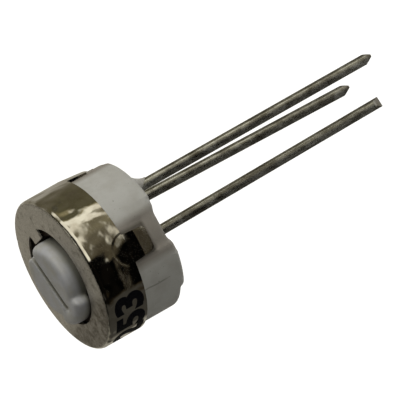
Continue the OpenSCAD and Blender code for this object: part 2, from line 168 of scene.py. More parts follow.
def nickel_plate(colours):
    """Nickel plate on drawn brass strip. The side mirrors its surroundings, uneven from
    the drawing. The face is dull, with fine scratches, handling haze and grime, and darker
    in patches on the side away from the end leads."""
    material, tree = new_material("nickel_plate_drawn")
    haze_mm, grime_mm, hollow_mm, ripple_mm = 0.9, 0.5, 1.3, 0.45
    # Real scratches are a few hundredths of a millimetre wide, too fine to show, and are
    # drawn coarser.
    scratch_mm = 0.09
    place = place_mm(tree)
    axes = add(tree, "ShaderNodeSeparateXYZ", {0: place})
    height = axes.outputs["Z"]
    on_face = add(tree, "ShaderNodeMapRange", {0: height, 1: FACE_MM - 0.05, 2: FACE_MM})
    haze = add(tree, "ShaderNodeTexNoise", {"Vector": place, "Scale": 1 / haze_mm, "Detail": 4.0})
    scratches = add(tree, "ShaderNodeTexNoise",
                    {"Vector": place, "Scale": 1 / scratch_mm, "Detail": 5.0, "Roughness": 0.7})

    # The sheared edge is the dullest, then the face, and the side is nearly a mirror.
    side_rough = add(tree, "ShaderNodeMapRange", {0: haze, 1: 0.35, 2: 0.7, 3: 0.06, 4: 0.16})
    face_rough = add(tree, "ShaderNodeMapRange", {0: scratches, 1: 0.3, 2: 0.7, 3: 0.38, 4: 0.54})
    rough = add(tree, "ShaderNodeMix", {"Factor": on_face, "A": side_rough, "B": face_rough})
    sheared = faces_down(tree)
    rough = add(tree, "ShaderNodeMix", {"Factor": sheared, "A": rough, "B": 0.6})

    tarnished = add(tree, "ShaderNodeMapRange", {0: haze, 1: 0.42, 2: 0.7})
    side = add(tree, "ShaderNodeMix", {"Factor": tarnished, "A": colours.nickel, "B": colours.tarnish},
               data_type="RGBA")
    worn = add(tree, "ShaderNodeMapRange", {0: scratches, 1: 0.35, 2: 0.75})
    face = add(tree, "ShaderNodeMix", {"Factor": worn, "A": colours.face, "B": colours.face_worn},
               data_type="RGBA")
    grime = add(tree, "ShaderNodeTexNoise",
                {"Vector": place, "Scale": 1 / grime_mm, "Detail": 5.0, "Roughness": 0.7})
    grimy = add(tree, "ShaderNodeMapRange", {0: grime, 1: 0.52, 2: 0.72, 3: 0.0, 4: 0.7})
    face = add(tree, "ShaderNodeMix", {"Factor": grimy, "A": face, "B": colours.grime}, data_type="RGBA")
    # The face darkens in patches on the side away from the end leads, past this X.
    darker_full, darker_edge = -3.1, -2.2
    darker_side = add(tree, "ShaderNodeMapRange",
                  {0: axes.outputs["X"], 1: darker_full, 2: darker_edge, 3: 1.0, 4: 0.0})
    smears = add(tree, "ShaderNodeMapRange", {0: grime, 1: 0.3, 2: 0.6, 3: 0.3, 4: 1.0})
    darker_side = add(tree, "ShaderNodeMath", {0: darker_side, 1: smears}, operation="MULTIPLY")
    face = add(tree, "ShaderNodeMix", {"Factor": darker_side, "A": face, "B": colours.grime}, data_type="RGBA")
    tint = add(tree, "ShaderNodeMix", {"Factor": on_face, "A": side, "B": face}, data_type="RGBA")

    # Shallow hollows from the drawing, with a few finer marks. The turned-round Y axis only
    # picks where the hollows lie.
    hollows = add(tree, "ShaderNodeTexNoise",
                  {"Vector": place_mm(tree, (1.0, -1.0, 0.7)), "Scale": 1 / hollow_mm, "Detail": 1.0})
    ripples = add(tree, "ShaderNodeTexNoise", {"Vector": place, "Scale": 1 / ripple_mm, "Detail": 1.0})
    uneven = add(tree, "ShaderNodeMix", {"Factor": 0.05, "A": hollows, "B": ripples})
    # Round each tab's root the wall is calmer, and a shallow rim shows how far the pressing
    # reached. Below the roots, the distance is measured round the wall only.
    calm_near, calm_far = 0.3, 1.5
    rim_inner, rim_outer, rim_step = 0.93, 1.06, 0.03
    upper = add(tree, "ShaderNodeMath", {0: height, 1: ROOT_MM}, operation="MAXIMUM")
    on_wall = add(tree, "ShaderNodeCombineXYZ", {0: axes.outputs["X"], 1: axes.outputs["Y"], 2: upper})
    for turn in TAB_TURNS:
        root = Vector((CAP_RADIUS * math.cos(turn), CAP_RADIUS * math.sin(turn), ROOT_Z)) / MM
        away = add(tree, "ShaderNodeVectorMath", {0: on_wall, 1: root}, operation="DISTANCE")
        calm = add(tree, "ShaderNodeMapRange", {0: away, 1: calm_near, 2: calm_far, 3: 0.85, 4: 0.0})
        uneven = add(tree, "ShaderNodeMix", {"Factor": calm, "A": uneven, "B": 0.5})
        rim = add(tree, "ShaderNodeMapRange", {0: away, 1: rim_inner, 2: rim_outer, 3: rim_step, 4: 0.0})
        uneven = add(tree, "ShaderNodeMath", {0: uneven, 1: rim}, operation="SUBTRACT")
    # The tabs' lean starts softly below their roots.
    lean_end = ROOT_MM - 0.75
    lean = add(tree, "ShaderNodeMapRange", {0: height, 1: lean_end, 2: ROOT_MM, 3: 0.27, 4: 0.0})
    uneven = add(tree, "ShaderNodeMath", {0: uneven, 1: lean}, operation="ADD")
    uneven = add(tree, "ShaderNodeMix", {"Factor": sheared, "A": uneven, "B": 0.5})
    relief = add(tree, "ShaderNodeMix", {"Factor": on_face, "A": uneven, "B": scratches})
    side_depth, face_depth = 0.28 * MM, 0.004 * MM
    depth = add(tree, "ShaderNodeMapRange", {0: on_face, 1: 0.0, 2: 1.0, 3: side_depth, 4: face_depth})
    bump = add(tree, "ShaderNodeBump", {"Height": relief, "Distance": depth})

    shader = add(tree, "ShaderNodeBsdfPrincipled",
                 {"Base Color": tint, "Metallic": 1.0, "Roughness": rough, "Normal": bump})
    add(tree, "ShaderNodeOutputMaterial", {"Surface": shader})
    return material


def steatite(colours):
    """Pressed and fired steatite, unglazed: dull grey-white with a fine grit, faint
    handling marks, a few dark grains, painted shade in the recesses and round the tabs,
    and one thin dark line."""
    material, tree = new_material("steatite_unglazed")
    stain_mm, grain_mm = 1.3, 0.12
    # The real grit is about 0.01 mm, too fine to show, and is drawn coarser.
    grit_mm = 0.06
    place = place_mm(tree)
    height = add(tree, "ShaderNodeSeparateXYZ", {0: place}).outputs["Z"]
    stains = add(tree, "ShaderNodeTexNoise", {"Vector": place, "Scale": 1 / stain_mm, "Detail": 4.0})
    grit = add(tree, "ShaderNodeTexNoise",
               {"Vector": place, "Scale": 1 / grit_mm, "Detail": 4.0, "Roughness": 0.7})
    grains = add(tree, "ShaderNodeTexNoise", {"Vector": place, "Scale": 1 / grain_mm, "Detail": 1.0})
    stained = add(tree, "ShaderNodeMapRange", {0: stains, 1: 0.4, 2: 0.75})
    tint = add(tree, "ShaderNodeMix",
               {"Factor": stained, "A": colours.ceramic, "B": colours.ceramic_stain}, data_type="RGBA")
    dark = add(tree, "ShaderNodeMapRange", {0: grains, 1: 0.74, 2: 0.8})
    tint = add(tree, "ShaderNodeMix", {"Factor": dark, "A": tint, "B": colours.dark_grain}, data_type="RGBA")

    # Painted shade darkens the recesses behind the tabs, and a darker painted shadow lies round
    # each tab. It starts this far out from the axis, and ends this far to each side of a tab's middle.
    shade_start, shade_full = 3.75, 4.1
    recess_half, recess_half_far = 1.2, 1.65
    tab_half, tab_half_far = 0.85, 1.12
    shadow_end, shadow_full = TAB_TIP_MM - 0.22, TAB_TIP_MM - 0.02
    for turn in TAB_TURNS:
        outward, aside = ahead_and_aside(tree, place, turn + math.radians(0.5))
        aside = add(tree, "ShaderNodeMath", {0: aside}, operation="ABSOLUTE")
        outside = add(tree, "ShaderNodeMapRange", {0: outward, 1: shade_start, 2: shade_full})
        in_recess = add(tree, "ShaderNodeMapRange",
                        {0: aside, 1: recess_half, 2: recess_half_far, 3: 1.0, 4: 0.0})
        painted_shade = add(tree, "ShaderNodeMath", {0: in_recess, 1: outside}, operation="MULTIPLY")
        tint = add(tree, "ShaderNodeMix", {"Factor": painted_shade, "A": tint, "B": colours.recess_painted_shade},
                   data_type="RGBA")
        # Painted shadow round each tab, from just below the level of its tip upward.
        by_tab = add(tree, "ShaderNodeMapRange",
                     {0: aside, 1: tab_half, 2: tab_half_far, 3: 1.0, 4: 0.0})
        above_tip = add(tree, "ShaderNodeMapRange", {0: height, 1: shadow_end, 2: shadow_full})
        tab_shadow = add(tree, "ShaderNodeMath", {0: by_tab, 1: above_tip}, operation="MULTIPLY")
        tab_shadow = add(tree, "ShaderNodeMath", {0: tab_shadow, 1: outside}, operation="MULTIPLY")
        tint = add(tree, "ShaderNodeMix", {"Factor": tab_shadow, "A": tint, "B": colours.tab_shadow_and_line},
                   data_type="RGBA")

    # A thin dark line wanders down from the cap and fades out above the rear rim.
    line_core, line_edge, wander = 0.02, 0.07, 0.06
    side_start, side_full = 3.9, 4.1
    fade_end, fade_start = 0.9, 1.5
    outward, aside = ahead_and_aside(tree, place, DARK_LINE_TURN)
    sway = add(tree, "ShaderNodeMapRange", {0: stains, 1: 0.3, 2: 0.7, 3: -wander, 4: wander})
    aside = add(tree, "ShaderNodeMath", {0: aside, 1: sway}, operation="ADD")
    aside = add(tree, "ShaderNodeMath", {0: aside}, operation="ABSOLUTE")
    dark_line = add(tree, "ShaderNodeMapRange", {0: aside, 1: line_core, 2: line_edge, 3: 0.5, 4: 0.0})
    on_side = add(tree, "ShaderNodeMapRange", {0: outward, 1: side_start, 2: side_full})
    dark_line = add(tree, "ShaderNodeMath", {0: dark_line, 1: on_side}, operation="MULTIPLY")
    above_rim = add(tree, "ShaderNodeMapRange", {0: height, 1: fade_end, 2: fade_start})
    dark_line = add(tree, "ShaderNodeMath", {0: dark_line, 1: above_rim}, operation="MULTIPLY")
    tint = add(tree, "ShaderNodeMix", {"Factor": dark_line, "A": tint, "B": colours.tab_shadow_and_line},
               data_type="RGBA")

    rough = add(tree, "ShaderNodeMapRange", {0: grit, 1: 0.3, 2: 0.7, 3: 0.55, 4: 0.75})
    bump = add(tree, "ShaderNodeBump", {"Height": grit, "Distance": 0.006 * MM})
    shader = add(tree, "ShaderNodeBsdfPrincipled", {"Base Color": tint, "Roughness": rough, "Normal": bump})
    add(tree, "ShaderNodeOutputMaterial", {"Surface": shader})
    return material


def moulded_nylon(colours):
    """Moulded natural nylon: milky and a little translucent, satin, with yellower
    clouds and a faint orange peel, and painted shade round its foot and in the driver slot."""
    material, tree = new_material("nylon_moulded_natural")
    cloud_mm, peel_mm = 0.9, 0.15
    place = place_mm(tree)
    height = add(tree, "ShaderNodeSeparateXYZ", {0: place}).outputs["Z"]
    clouds = add(tree, "ShaderNodeTexNoise", {"Vector": place, "Scale": 1 / cloud_mm, "Detail": 3.0})
    orange_peel = add(tree, "ShaderNodeTexNoise", {"Vector": place, "Scale": 1 / peel_mm, "Detail": 2.0})
    cloudy = add(tree, "ShaderNodeMapRange", {0: clouds, 1: 0.4, 2: 0.7})
    body = add(tree, "ShaderNodeMix", {"Factor": cloudy, "A": colours.nylon, "B": colours.nylon_shade},
               data_type="RGBA")
    # The foot darkens towards the cap's face: painted shade where the adjuster meets the face.
    foot_top = FACE_MM + 0.35
    above_foot_shade = add(tree, "ShaderNodeMapRange", {0: height, 1: FACE_MM, 2: foot_top})
    tint = add(tree, "ShaderNodeMix", {"Factor": above_foot_shade, "A": colours.nylon_painted_shade, "B": body},
               data_type="RGBA")

    # The painted shade in the slot keeps off the flat top and the stop lug.
    slot_half, slot_half_far = 0.24, 0.38
    shade_top, shade_clear = KNOB_TOP_MM - 0.12, KNOB_TOP_MM - 0.02
    lug_start, lug_clear = -1.9, -1.75
    ahead, aside = ahead_and_aside(tree, place, SLOT_TURN)
    aside = add(tree, "ShaderNodeMath", {0: aside}, operation="ABSOLUTE")
    in_slot = add(tree, "ShaderNodeMapRange",
                  {0: aside, 1: slot_half, 2: slot_half_far, 3: 1.0, 4: 0.0})
    below_top = add(tree, "ShaderNodeMapRange",
                    {0: height, 1: shade_top, 2: shade_clear, 3: 1.0, 4: 0.0})
    off_lug = add(tree, "ShaderNodeMapRange", {0: ahead, 1: lug_start, 2: lug_clear})
    painted_shade = add(tree, "ShaderNodeMath", {0: in_slot, 1: below_top}, operation="MULTIPLY")
    painted_shade = add(tree, "ShaderNodeMath", {0: painted_shade, 1: off_lug}, operation="MULTIPLY")
    tint = add(tree, "ShaderNodeMix", {"Factor": painted_shade, "A": tint, "B": colours.nylon_painted_shade}, data_type="RGBA")

    rough = add(tree, "ShaderNodeMapRange", {0: orange_peel, 1: 0.3, 2: 0.7, 3: 0.36, 4: 0.48})
    bump = add(tree, "ShaderNodeBump", {"Height": orange_peel, "Distance": 0.004 * MM})
    shader = add(tree, "ShaderNodeBsdfPrincipled", {
        "Base Color": tint, "Roughness": rough, "IOR": 1.53, "Normal": bump, "Subsurface Weight": 0.2,
        "Subsurface Radius": (1.0, 0.9, 0.75), "Subsurface Scale": 0.2 * MM})
    add(tree, "ShaderNodeOutputMaterial", {"Surface": shader})
    return material


def tinned_copper(colours):
    """Hot-tinned copper wire: bright grey with runs along the wire, fine pits, darker
    olive handling stains, and dull stained ends."""
    material, tree = new_material("copper_wire_tinned")
    run_mm, stain_mm = 0.14, 0.5
    # Real pits are about 0.05 mm across, too fine to show, and are drawn coarser.
    pit_mm = 0.2
    place = place_mm(tree)
    height = add(tree, "ShaderNodeSeparateXYZ", {0: place}).outputs["Z"]
    runs = add(tree, "ShaderNodeTexNoise",
               {"Vector": place_mm(tree, (1.0, 1.0, 0.08)), "Scale": 1 / run_mm, "Detail": 3.0})
    pits = add(tree, "ShaderNodeTexNoise",
               {"Vector": place_mm(tree, (1.0, 1.0, 0.4)), "Scale": 1 / pit_mm, "Detail": 3.0})
    stains = add(tree, "ShaderNodeTexNoise",
                 {"Vector": place_mm(tree, (1.0, 1.0, 0.5)), "Scale": 1 / stain_mm, "Detail": 5.0,
                  "Roughness": 0.65})
    stained = add(tree, "ShaderNodeMapRange", {0: stains, 1: 0.42, 2: 0.62})
    tint = add(tree, "ShaderNodeMix", {"Factor": stained, "A": colours.tin, "B": colours.tin_stain},
               data_type="RGBA")

    # The cut faces are dull and stained, and so is the last of the wire.
    last_full, last_clear = WIRE_END_MM + 0.3, WIRE_END_MM + 0.5
    last = add(tree, "ShaderNodeMapRange", {0: height, 1: last_full, 2: last_clear, 3: 0.9, 4: 0.0})
    cut = add(tree, "ShaderNodeMath", {0: faces_down(tree), 1: last}, operation="MAXIMUM")
    tint = add(tree, "ShaderNodeMix", {"Factor": cut, "A": tint, "B": colours.cut_end}, data_type="RGBA")
    rough = add(tree, "ShaderNodeMapRange", {0: pits, 1: 0.3, 2: 0.7, 3: 0.22, 4: 0.34})
    rough = add(tree, "ShaderNodeMix", {"Factor": cut, "A": rough, "B": 0.5})
    relief = add(tree, "ShaderNodeMix", {"Factor": 0.5, "A": runs, "B": pits})
    bump = add(tree, "ShaderNodeBump", {"Height": relief, "Distance": 0.006 * MM})
    shader = add(tree, "ShaderNodeBsdfPrincipled",
                 {"Base Color": tint, "Metallic": 1.0, "Roughness": rough, "Normal": bump})
    add(tree, "ShaderNodeOutputMaterial", {"Surface": shader})
    return material


def plain_finish(name, colour, roughness, size_mm, metallic=0.0, depth_mm=0.003, shine=0.5):
    """A finish of one colour, darker in places, with a fine relief of lumps of size_mm
    and a roughness that varies with it."""
    material, tree = new_material(name)
    relief = add(tree, "ShaderNodeTexNoise",
                 {"Vector": place_mm(tree), "Scale": 1 / size_mm, "Detail": 4.0})
    darker = [0.7 * part for part in colour[:3]] + [1.0]
    shade = add(tree, "ShaderNodeMapRange", {0: relief, 1: 0.3, 2: 0.75})
    tint = add(tree, "ShaderNodeMix", {"Factor": shade, "A": colour, "B": darker}, data_type="RGBA")
    rough = add(tree, "ShaderNodeMapRange",
                {0: relief, 1: 0.3, 2: 0.7, 3: 0.85 * roughness, 4: 1.15 * roughness})
    bump = add(tree, "ShaderNodeBump", {"Height": relief, "Distance": depth_mm * MM})
    shader = add(tree, "ShaderNodeBsdfPrincipled", {
        "Base Color": tint, "Metallic": metallic, "Roughness": rough, "Specular IOR Level": shine,
        "Normal": bump})
    add(tree, "ShaderNodeOutputMaterial", {"Surface": shader})
    return material


# ---- Properties ----

def colour_property(name, description, hex_colour):
    """A colour setting with its default from an sRGB hex value."""
    return FloatVectorProperty(name=name, description=description, subtype="COLOR", size=4,
                               min=0.0, max=1.0, default=linear(hex_colour))


def length_property(name, description, millimetres):
    """A length setting in metres."""
    return FloatProperty(name=name, description=description, unit="LENGTH", default=millimetres * MM)


def angle_property(name, description, degrees):
    """An angle setting in radians."""
    return FloatProperty(name=name, description=description, subtype="ANGLE",
                         default=math.radians(degrees))


class TrimmerColours(PropertyGroup):
    nickel: colour_property("Nickel", "Clean nickel plate", "a9a69c")
    tarnish: colour_property("Tarnish", "Tarnished nickel plate", "948f84")
    face: colour_property("Face", "Dull nickel plate on the cap's face", "c6c3bc")
    face_worn: colour_property("Worn face", "Stained nickel plate on the cap's face", "a19d96")
    # This colour also darkens the face on its side away from the end leads.
    grime: colour_property("Grime", "Handling grime on the cap's face", "5e574c")
    ceramic: colour_property("Ceramic", "Base body", "8e8e8b")
    ceramic_stain: colour_property("Ceramic stain", "Handling marks on the base", "7f7e79")
    dark_grain: colour_property("Dark grain", "Dark grains in the base", "4a4540")
    # This colour is painted shade in the recesses behind the tabs.
    recess_painted_shade: colour_property("Recess dirt", "Dirt in the recesses behind the tabs", "6b6761")
    # This colour is painted shadow round the tabs, and also draws the thin dark line.
    tab_shadow_and_line: colour_property("Packed dirt", "Dirt round the tabs and in the hair crack", "3b3730")
    nylon: colour_property("Nylon", "Adjuster", "949599")
    nylon_shade: colour_property("Nylon shade", "Yellower clouds in the adjuster", "8b8a84")
    # This colour is painted shade at the adjuster's foot and in its slot.
    nylon_painted_shade: colour_property("Nylon foot", "Grime at the adjuster's foot and in its slot", "63625b")
    tin: colour_property("Tin", "Clean tinned wire", "a0a09a")
    tin_stain: colour_property("Tin stain", "Stained tinned wire", "6e6c64")
    cut_end: colour_property("Cut end", "Sheared ends of the leads", "56524a")
    sealant: colour_property("Sealing compound", "Seals round the leads", "86847f")
    rubber: colour_property("Rubber", "Ring under the cap", "2a1c12")
    ink: colour_property("Ink", "Printed figures", "050509")
    backdrop: colour_property("Backdrop", "Floor and far field", "ffffff")


class TrimmerSizes(PropertyGroup):
    figures: StringProperty(name="Figures", description="Numbers printed on the cap's side", default="253")
    figure_height: length_property("Figure height", "Height of the printed numbers", 2.0)
    figure_boldness: FloatProperty(
        name="Figure boldness", description="Added to the strokes, as a share of the height", default=0.045)
    figure_width: FloatProperty(
        name="Figure width", description="How much wider than normal the numbers are", default=1.15)
    band_middle: length_property("Band middle", "Depth of the middle of the cap's side below its face", 1.46)
    figure_turn: angle_property("Figure turn", "Middle of the numbers round the axis, from +X", -156.4)
    ink_lift: length_property("Ink lift", "Thickness of the ink on the cap", 0.004)
    base_softness: length_property("Base softness", "Rounding of the base's pressed edges", 0.08)
    recess_softness: length_property("Recess softness", "Further rounding of the channels' edges", 0.26)
    adjuster_softness: length_property("Adjuster softness", "Rounding of the adjuster's moulded edges", 0.1)
    lug_softness: length_property("Lug softness", "Further rounding of the stop lug's edges", 0.16)
    wire_step: length_property("Wire step", "Length of the faces along a lead", 0.5)
    seal_radius: length_property("Seal radius", "Radius of the sealing compound's foot", 1.0)
    seal_height: length_property("Seal height", "How far the compound climbs a lead", 1.05)


class TrimmerStudio(PropertyGroup):
    azimuth: angle_property("Azimuth", "Camera's turn from the -Y side towards +X", -5.78)
    elevation: angle_property("Elevation", "Camera's height above the horizon", 21.16)
    roll: angle_property("Roll", "Camera's turn about its own axis", -119.6)
    view_width: length_property("View width", "Width that the camera sees at the object", 22.857)
    distance: length_property("Distance", "Camera's distance from the object", 800.0)
    floor_drop: length_property("Floor drop", "Height of the rear face above the floor", 90.0)
    key_power: FloatProperty(name="Key power", description="Key lamp", unit="POWER", default=1.0)
    front_power: FloatProperty(
        name="Front power", description="Soft lamp beside the camera", unit="POWER", default=0.12)
    fill: FloatProperty(name="Fill", description="Strength of the even light", default=0.22)


def settings():
    """The scene's colours, sizes and studio values."""
    scene = bpy.context.scene
    return scene.trimmer_colours, scene.trimmer_sizes, scene.trimmer_studio


# ---- Pieces ----

def paint(piece, material):
    """Gives a piece one material."""
    piece.data.materials.clear()
    piece.data.materials.append(material)


def new_object(name, bm, material):
    """An object from a bmesh, painted and in the scene. The bmesh is freed."""
    mesh = bpy.data.meshes.new(name)
    bm.to_mesh(mesh)
    bm.free()
    piece = bpy.data.objects.new(name, mesh)
    bpy.context.scene.collection.objects.link(piece)
    paint(piece, material)
    return piece


def new_piece(name, bm, body, material):
    """An object that rides on a body and is tied to a material slot."""
    piece = new_object(name, bm, material)
    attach(piece, body)
    return piece


def welded(node_name):
    """A bmesh of a CAD node with its loose triangles merged into clean faces."""
    bm = bmesh.new()
    bm.from_mesh(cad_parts[node_name].data)
    bmesh.ops.remove_doubles(bm, verts=bm.verts, dist=0.0005 * MM)
    bmesh.ops.dissolve_limit(bm, angle_limit=math.radians(0.3), verts=bm.verts, edges=bm.edges)
    return bm


def crisp_copy(node_name, piece_name, material, cuts=()):
    """A welded, smooth-shaded copy of a housing node with its sharp edges kept, and its
    long faces cut across at some heights. Wide faces set the shading, so that it stays
    even up to an edge."""
    bm = welded(node_name)
    for z in cuts:
        everything = [*bm.verts, *bm.edges, *bm.faces]
        bmesh.ops.bisect_plane(bm, geom=everything, plane_co=(0, 0, z), plane_no=(0, 0, 1))
    piece = new_piece(piece_name, bm, "housing", material)
    piece.data.shade_smooth()
    piece.data.set_sharp_from_angle(angle=math.radians(25))
    even = piece.modifiers.new("even_shading", "WEIGHTED_NORMAL")
    even.keep_sharp = True
    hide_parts(node_name)


def evenly_meshed(node_name, cell):
    """A CAD node's solid as small even faces, with a cell's length along each edge. The
    remesh works at 1000 times the size, because it has a lower limit of 0.1 mm."""
    enlarge = 1000
    bm = welded(node_name)
    bmesh.ops.scale(bm, verts=bm.verts, vec=(enlarge, enlarge, enlarge))
    mesh = bpy.data.meshes.new("even")
    bm.to_mesh(mesh)
    carrier = bpy.data.objects.new("even", mesh)
    bpy.context.scene.collection.objects.link(carrier)
    remesh = carrier.modifiers.new("even_faces", "REMESH")
    remesh.mode = "VOXEL"
    remesh.voxel_size = cell * enlarge
    evaluated = carrier.evaluated_get(bpy.context.evaluated_depsgraph_get())
    bm.clear()
    bm.from_mesh(evaluated.to_mesh())
    evaluated.to_mesh_clear()
    bpy.data.objects.remove(carrier)
    bpy.data.meshes.remove(mesh)
    bmesh.ops.scale(bm, verts=bm.verts, vec=(1 / enlarge, 1 / enlarge, 1 / enlarge))
    return bm


def soften(bm, verts, reach, cell):
    """Rounds the edges among verts by about reach, on a mesh of even cells."""
    for _ in range(round(4 * (reach / cell) ** 2)):
        bmesh.ops.smooth_vert(bm, verts=verts, factor=0.5, use_axis_x=True, use_axis_y=True,
                              use_axis_z=True)


def past_channel(place):
    """Degrees round the axis from the nearer of the two tabs with a channel to a place."""
    turn = math.atan2(place.y, place.x)
    return math.degrees(min((math.remainder(turn - tab, math.tau) for tab in CHANNEL_TURNS), key=abs))


class TRIMMER_OT_cap(Operator):
    """Finishes the drawn cap"""
    bl_idname = "trimmer.cap"
    bl_label = "Cap"

    def execute(self, context):
        colours, _, _ = settings()
        crisp_copy("cap", "cap_shell", nickel_plate(colours))
        return {"FINISHED"}


class TRIMMER_OT_base(Operator):
    """Finishes the ceramic base, with soft pressed edges on its outside"""
    bl_idname = "trimmer.base"
    bl_label = "Base"

    def execute(self, context):
        colours, sizes, _ = settings()
        cell = 0.07 * MM
        side_radius = CAP_RADIUS - 0.62 * MM        # the whole outside lies past it
        side_top = ROOT_Z + 0.3 * MM
        rim_top, rim_radius = 1.2 * MM, 3.1 * MM    # round the channels across the rear rim
        near_edge, far_edge, clear = -20, 15, 26    # degrees past the middle of a tab
        bm = evenly_meshed("base", cell)
        soften(bm, list(bm.verts), cell, cell)
        outside = [v for v in bm.verts if v.co.xy.length > side_radius]
        soften(bm, outside, sizes.base_softness, cell)
        # A recess is rounder up its far edge, and its channel is rounder all over.
        side = [v for v in bm.verts if v.co.xy.length > side_radius and v.co.z < side_top]
        soften(bm, [v for v in side if far_edge < past_channel(v.co) < clear], sizes.recess_softness, cell)
        rim = [v for v in bm.verts if v.co.z < rim_top and v.co.xy.length > rim_radius]
        soften(bm, [v for v in rim if near_edge < past_channel(v.co) < clear], sizes.recess_softness, cell)
        piece = new_piece("base_body", bm, "housing", steatite(colours))
        piece.data.shade_smooth()
        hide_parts("base")
        return {"FINISHED"}


class TRIMMER_OT_rotor(Operator):
    """Finishes the adjuster, with soft moulded edges"""
    bl_idname = "trimmer.rotor"
    bl_label = "Adjuster"

    def execute(self, context):
        colours, sizes, _ = settings()
        cell = 0.05 * MM
        knob_foot = FACE_Z - 0.3 * MM
        lug_foot, lug_start = FACE_Z + 0.15 * MM, 1.7 * MM
        bm = evenly_meshed("rotor", cell)
        soften(bm, list(bm.verts), 0.8 * cell, cell)
        soften(bm, [v for v in bm.verts if v.co.z > knob_foot], sizes.adjuster_softness, cell)
        # The stop lug stands at the slot's -X end.
        lug_way = Vector((-math.cos(SLOT_TURN), -math.sin(SLOT_TURN), 0))
        lug = [v for v in bm.verts if v.co.z > lug_foot and v.co.dot(lug_way) > lug_start]
        soften(bm, lug, sizes.lug_softness, cell)
        piece = new_piece("adjuster", bm, "rotor", moulded_nylon(colours))
        piece.data.shade_smooth()
        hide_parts("rotor")
        return {"FINISHED"}


class TRIMMER_OT_leads(Operator):
    """Finishes the three leads"""
    bl_idname = "trimmer.leads"
    bl_label = "Leads"

    def execute(self, context):
        colours, sizes, _ = settings()
        material = tinned_copper(colours)
        for name in ("lead_ccw", "lead_wiper", "lead_cw"):
            low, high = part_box(name)
            steps = int((high.z - low.z) / sizes.wire_step)
            cuts = [low.z + i * sizes.wire_step for i in range(1, steps)]
            crisp_copy(name, name + "_wire", material, cuts)
        return {"FINISHED"}


class TRIMMER_OT_seals(Operator):
    """Runs the sealing compound up each lead, higher on an end lead's outer side"""
    bl_idname = "trimmer.seals"
    bl_label = "Seals"

    def execute(self, context):
        colours, sizes, _ = settings()
        # Epoxy compound, dabbed on and cured: matt and chalky grey, slightly lumpy.
        material = plain_finish("epoxy_compound_matt", colours.sealant, 0.55, size_mm=0.3)
        steps = 14
        inner = 0.31 * MM       # just inside the wire's skin
        tip = 0.05 * MM         # how thick the compound ends
        sunk = 0.25 * MM        # how far it goes into the base
        hollow = 1.9            # 1 is a straight cone, and more is more hollow
        inner_share = 0.25      # an end lead's height on the -X side, against the +X side
        for name in ("ccw", "wiper", "cw"):
            low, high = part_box("seal_" + name)
            wire = low.lerp(high, 0.5)
            bm = bmesh.new()
            rim = [bm.verts.new((inner, 0, sunk)), bm.verts.new((sizes.seal_radius, 0, sunk))]
            for i in range(steps + 1):
                share = i / steps
                reach = inner + tip + (sizes.seal_radius - inner - tip) * (1 - share) ** hollow
                rim.append(bm.verts.new((reach, 0, -sizes.seal_height * share)))
            rim.append(bm.verts.new((inner, 0, -sizes.seal_height)))
            edges = [bm.edges.new(pair) for pair in zip(rim, rim[1:] + rim[:1])]
            bmesh.ops.spin(bm, geom=rim + edges, cent=(0, 0, 0), axis=(0, 0, 1), dvec=(0, 0, 0),
                           angle=math.tau, steps=48, use_merge=True, use_duplicate=False)
            if name != "wiper":
                for vert in bm.verts:
                    outward = vert.co.x / vert.co.xy.length
                    vert.co.z *= inner_share + (1 - inner_share) * (1 + outward) / 2
            bmesh.ops.translate(bm, verts=bm.verts, vec=(wire.x, wire.y, 0))
            bmesh.ops.recalc_face_normals(bm, faces=bm.faces)
            piece = new_piece(f"seal_{name}_cone", bm, "housing", material)
            piece.data.shade_smooth()
            piece.data.set_sharp_from_angle(angle=math.radians(50))
            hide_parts("seal_" + name)
        return {"FINISHED"}


class TRIMMER_OT_inner(Operator):
    """Finishes the element, the solder, the ring and the wiper"""
    bl_idname = "trimmer.inner"
    bl_label = "Inner pieces"

    def execute(self, context):
        colours, _, _ = settings()
        # The grain of these finishes is a few thousandths of a millimetre in the real ones,
        # too fine to show, and is drawn coarser.
        # Alumina, fired and lapped flat: even, cool white and satin.
        alumina = plain_finish("alumina_lapped", linear("d6d6d0"), 0.5, size_mm=0.03, depth_mm=0.002)
        # Cermet ink, screened and fired: black with a faint glassy shine.
        cermet = plain_finish("cermet_fired", linear("1d1c1a"), 0.45, size_mm=0.05)
        # Silver film, screened and fired: pale, matt metal.
        silver = plain_finish("silver_film_fired", linear("c4c2b8"), 0.45, size_mm=0.05, metallic=0.9)
        # Tin-lead solder, melted on: bright grey and smooth, with slow swells.
        solder = plain_finish("solder_tin_lead", linear("b0afa8"), 0.25, size_mm=0.3, metallic=1.0)
        # Rubber, moulded: dark brown, with hardly any shine.
        rubber = plain_finish("rubber_moulded", colours.rubber, 0.7, size_mm=0.05, shine=0.15)
        # Phosphor bronze, rolled: warm spring metal, clean and bright.
        bronze = plain_finish("phosphor_bronze_rolled", linear("b98a4a"), 0.3, size_mm=0.08, metallic=1.0)
        finishes = {
            "element_substrate": alumina, "resistive_track": cermet, "end_pad_ccw": silver,
            "end_pad_cw": silver, "collector_ring": silver, "solder_ccw": solder,
            "solder_wiper": solder, "solder_cw": solder, "rubber_ring": rubber, "wiper": bronze,
        }
        for name, material in finishes.items():
            paint(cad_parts[name], material)
        return {"FINISHED"}


